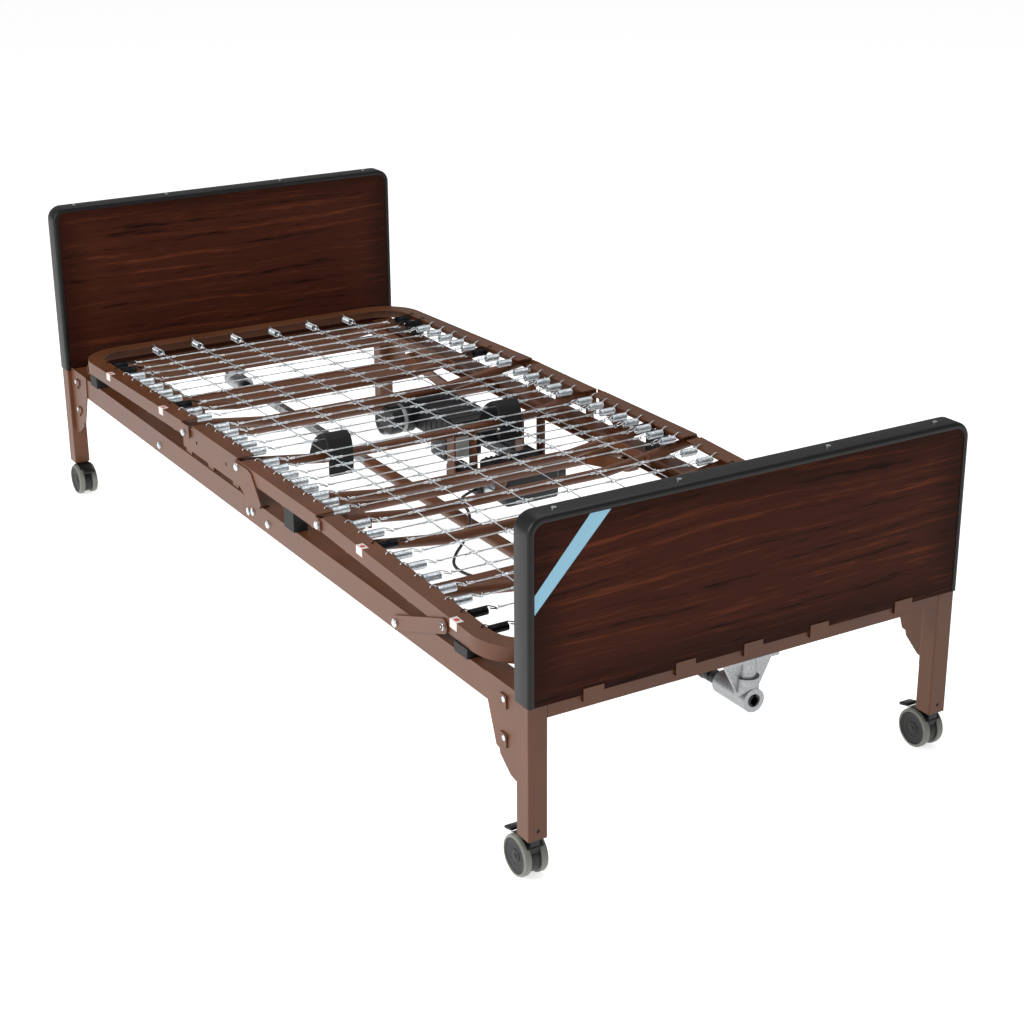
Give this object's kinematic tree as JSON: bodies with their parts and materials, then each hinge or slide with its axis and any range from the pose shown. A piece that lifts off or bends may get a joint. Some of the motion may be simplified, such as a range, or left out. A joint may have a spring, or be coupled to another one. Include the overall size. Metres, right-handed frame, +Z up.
{
  "type": "adjustable hospital bed",
  "caption": "Adjustable hospital bed: hinged spring deck on a steel frame, screw-lifted bed ends, deck actuators and braked swivel casters.",
  "frame": {"origin": "on the floor under the middle of the bed's bounding box, all casters standing", "axes": "+X along the bed to the foot end, +Y across it to the right as seen from the foot end, +Z up"},
  "size_m": [2.235, 0.9198, 0.7332],
  "materials": {
    "brown_powder_coat": "satin",
    "bright_zinc": "bright",
    "dark_laminate": "semi-gloss",
    "black_edge_trim": "satin",
    "cast_aluminium": "satin",
    "black_rubber": "matte",
    "tread_grey": "matte",
    "black_moulding": "satin",
    "galvanised_bar": "dull",
    "black_webbing": "matte",
    "cable_jacket": "satin",
    "leg_liner": "satin"
  },
  "bodies": {
    "bed_frame": {"frame_head_half": "brown_powder_coat", "frame_foot_half": "brown_powder_coat", "corner_plates": "brown_powder_coat", "bolts_and_screws": "bright_zinc", "deck_bumpers": "black_rubber", "seat_section_frame": "brown_powder_coat", "seat_section_links": "bright_zinc", "seat_section_springs": "bright_zinc", "foot_end_frame": "brown_powder_coat", "head_end_frame": "brown_powder_coat", "foot_end_outer_panel": "dark_laminate", "foot_end_inner_panel": "dark_laminate", "head_end_outer_panel": "dark_laminate", "head_end_inner_panel": "dark_laminate", "foot_end_trim": "black_edge_trim", "head_end_trim": "black_edge_trim", "foot_gearbox": "cast_aluminium", "head_gearbox": "cast_aluminium", "leg_guides": "leg_liner", "head_actuator": "black_moulding", "knee_actuator": "black_moulding", "lifting_straps": "black_webbing", "control_cable": "cable_jacket", "junction_box": "black_moulding"},
    "foot_legs": {"foot_inner_legs": "brown_powder_coat"},
    "head_legs": {"head_inner_legs": "brown_powder_coat"},
    "foot_screw": {"foot_lead_screw": "bright_zinc"},
    "head_screw": {"head_lead_screw": "bright_zinc"},
    "drive_shaft": {"drive_stubs_and_joints": "black_moulding", "drive_shaft_tube": "brown_powder_coat", "drive_shaft_bar": "galvanised_bar"},
    "foot_left_caster": {"foot_left_caster_housing": "black_moulding"},
    "foot_left_wheels": {"foot_left_caster_wheels": "tread_grey"},
    "foot_left_pedal": {"foot_left_brake_pedal": "black_moulding"},
    "foot_right_caster": {"foot_right_caster_housing": "black_moulding"},
    "foot_right_wheels": {"foot_right_caster_wheels": "tread_grey"},
    "foot_right_pedal": {"foot_right_brake_pedal": "black_moulding"},
    "head_left_caster": {"head_left_caster_housing": "black_moulding"},
    "head_left_wheels": {"head_left_caster_wheels": "tread_grey"},
    "head_left_pedal": {"head_left_brake_pedal": "black_moulding"},
    "head_right_caster": {"head_right_caster_housing": "black_moulding"},
    "head_right_wheels": {"head_right_caster_wheels": "tread_grey"},
    "head_right_pedal": {"head_right_brake_pedal": "black_moulding"},
    "head_section": {"head_section_frame": "brown_powder_coat", "head_section_links": "bright_zinc", "head_section_springs": "bright_zinc"},
    "thigh_section": {"thigh_section_frame": "brown_powder_coat", "thigh_section_links": "bright_zinc", "thigh_section_springs": "bright_zinc", "knee_hinge_bolts": "bright_zinc"},
    "calf_section": {"calf_section_frame": "brown_powder_coat", "calf_section_links": "bright_zinc", "calf_section_springs": "bright_zinc"},
    "calf_links": {"calf_support_links": "brown_powder_coat"},
    "head_lift": {"head_lift_arm": "brown_powder_coat"},
    "knee_lift": {"knee_lift_arm": "brown_powder_coat"},
    "head_rod": {"head_actuator_rod": "bright_zinc"},
    "knee_rod": {"knee_actuator_rod": "bright_zinc"}
  },
  "joints": [
    {"name": "head_section_raise", "type": "hinge", "parent": "bed_frame", "child": "head_section", "pos_m": [-0.328, 0, 0.377], "axis": [0, 1, 0], "range_deg": [0, 65]},
    {"name": "head_lift_turn", "type": "hinge", "parent": "bed_frame", "child": "head_lift", "pos_m": [-0.494, 0, 0.297], "axis": [0, 1, 0], "range_deg": [0, 94.7]},
    {"name": "head_rod_push", "type": "slide", "parent": "bed_frame", "child": "head_rod", "axis": [-1, 0, 0], "range_m": [0, 0.1103]},
    {"name": "knee_raise", "type": "hinge", "parent": "bed_frame", "child": "thigh_section", "pos_m": [-0.035, 0, 0.386], "axis": [0, -1, 0], "range_deg": [0, 30]},
    {"name": "calf_fold", "type": "hinge", "parent": "thigh_section", "child": "calf_section", "pos_m": [0.336, 0, 0.381], "axis": [0, 1, 0], "range_deg": [0, 42]},
    {"name": "calf_link_swing", "type": "hinge", "parent": "bed_frame", "child": "calf_links", "pos_m": [0.649, 0, 0.297], "axis": [0, -1, 0], "range_deg": [0, 33.4]},
    {"name": "knee_lift_turn", "type": "hinge", "parent": "bed_frame", "child": "knee_lift", "pos_m": [0.093, 0, 0.3], "axis": [0, -1, 0], "range_deg": [0, 49.2]},
    {"name": "knee_rod_push", "type": "slide", "parent": "bed_frame", "child": "knee_rod", "axis": [1, 0, 0], "range_m": [0, 0.0492]},
    {"name": "drive_shaft_turn", "type": "hinge", "parent": "bed_frame", "child": "drive_shaft", "pos_m": [0, 0, 0.222], "axis": [1, 0, 0], "range_deg": [0, 14400]},
    {"name": "foot_legs_extend", "type": "slide", "parent": "bed_frame", "child": "foot_legs", "axis": [0, 0, -1], "range_m": [0, 0.2]},
    {"name": "head_legs_extend", "type": "slide", "parent": "bed_frame", "child": "head_legs", "axis": [0, 0, -1], "range_m": [0, 0.2]},
    {"name": "foot_screw_turn", "type": "hinge", "parent": "bed_frame", "child": "foot_screw", "pos_m": [1.094, 0, 0.222], "axis": [0, 0, 1], "range_deg": [-14400, 0]},
    {"name": "head_screw_turn", "type": "hinge", "parent": "bed_frame", "child": "head_screw", "pos_m": [-1.094, 0, 0.222], "axis": [0, 0, 1], "range_deg": [0, 14400]},
    {"name": "foot_left_swivel", "type": "hinge", "parent": "foot_legs", "child": "foot_left_caster", "pos_m": [1.094, -0.4364, 0.0375], "axis": [0, 0, 1], "continuous": true},
    {"name": "foot_left_roll", "type": "hinge", "parent": "foot_left_caster", "child": "foot_left_wheels", "pos_m": [1.074, -0.4364, 0.0375], "axis": [0, 1, 0], "continuous": true},
    {"name": "foot_left_brake", "type": "hinge", "parent": "foot_left_caster", "child": "foot_left_pedal", "pos_m": [1.05, -0.4364, 0.077], "axis": [0, -1, 0], "range_deg": [0, 8]},
    {"name": "foot_right_swivel", "type": "hinge", "parent": "foot_legs", "child": "foot_right_caster", "pos_m": [1.094, 0.4364, 0.0375], "axis": [0, 0, 1], "continuous": true},
    {"name": "foot_right_roll", "type": "hinge", "parent": "foot_right_caster", "child": "foot_right_wheels", "pos_m": [1.074, 0.4364, 0.0375], "axis": [0, 1, 0], "continuous": true},
    {"name": "foot_right_brake", "type": "hinge", "parent": "foot_right_caster", "child": "foot_right_pedal", "pos_m": [1.05, 0.4364, 0.077], "axis": [0, -1, 0], "range_deg": [0, 8]},
    {"name": "head_left_swivel", "type": "hinge", "parent": "head_legs", "child": "head_left_caster", "pos_m": [-1.094, -0.4364, 0.0375], "axis": [0, 0, 1], "continuous": true},
    {"name": "head_left_roll", "type": "hinge", "parent": "head_left_caster", "child": "head_left_wheels", "pos_m": [-1.074, -0.4364, 0.0375], "axis": [0, 1, 0], "continuous": true},
    {"name": "head_left_brake", "type": "hinge", "parent": "head_left_caster", "child": "head_left_pedal", "pos_m": [-1.05, -0.4364, 0.077], "axis": [0, 1, 0], "range_deg": [0, 8]},
    {"name": "head_right_swivel", "type": "hinge", "parent": "head_legs", "child": "head_right_caster", "pos_m": [-1.094, 0.4364, 0.0375], "axis": [0, 0, 1], "continuous": true},
    {"name": "head_right_roll", "type": "hinge", "parent": "head_right_caster", "child": "head_right_wheels", "pos_m": [-1.074, 0.4364, 0.0375], "axis": [0, 1, 0], "continuous": true},
    {"name": "head_right_brake", "type": "hinge", "parent": "head_right_caster", "child": "head_right_pedal", "pos_m": [-1.05, 0.4364, 0.077], "axis": [0, 1, 0], "range_deg": [0, 8]}
  ],
  "couplings": [
    {"joint": "head_lift_turn", "follows": "head_section_raise", "ratio": 1.455},
    {"joint": "head_rod_push", "follows": "head_section_raise", "m_per_rad": 0.09715},
    {"joint": "calf_fold", "follows": "knee_raise", "ratio": 1.394},
    {"joint": "calf_link_swing", "follows": "knee_raise", "ratio": 1.1085},
    {"joint": "knee_lift_turn", "follows": "knee_raise", "ratio": 1.6337},
    {"joint": "knee_rod_push", "follows": "knee_raise", "m_per_rad": 0.09381},
    {"joint": "foot_legs_extend", "follows": "head_legs_extend", "ratio": 1},
    {"joint": "drive_shaft_turn", "follows": "head_legs_extend", "rad_per_m": 1256.6},
    {"joint": "foot_screw_turn", "follows": "head_legs_extend", "rad_per_m": -1256.6},
    {"joint": "head_screw_turn", "follows": "head_legs_extend", "rad_per_m": 1256.6}
  ]
}
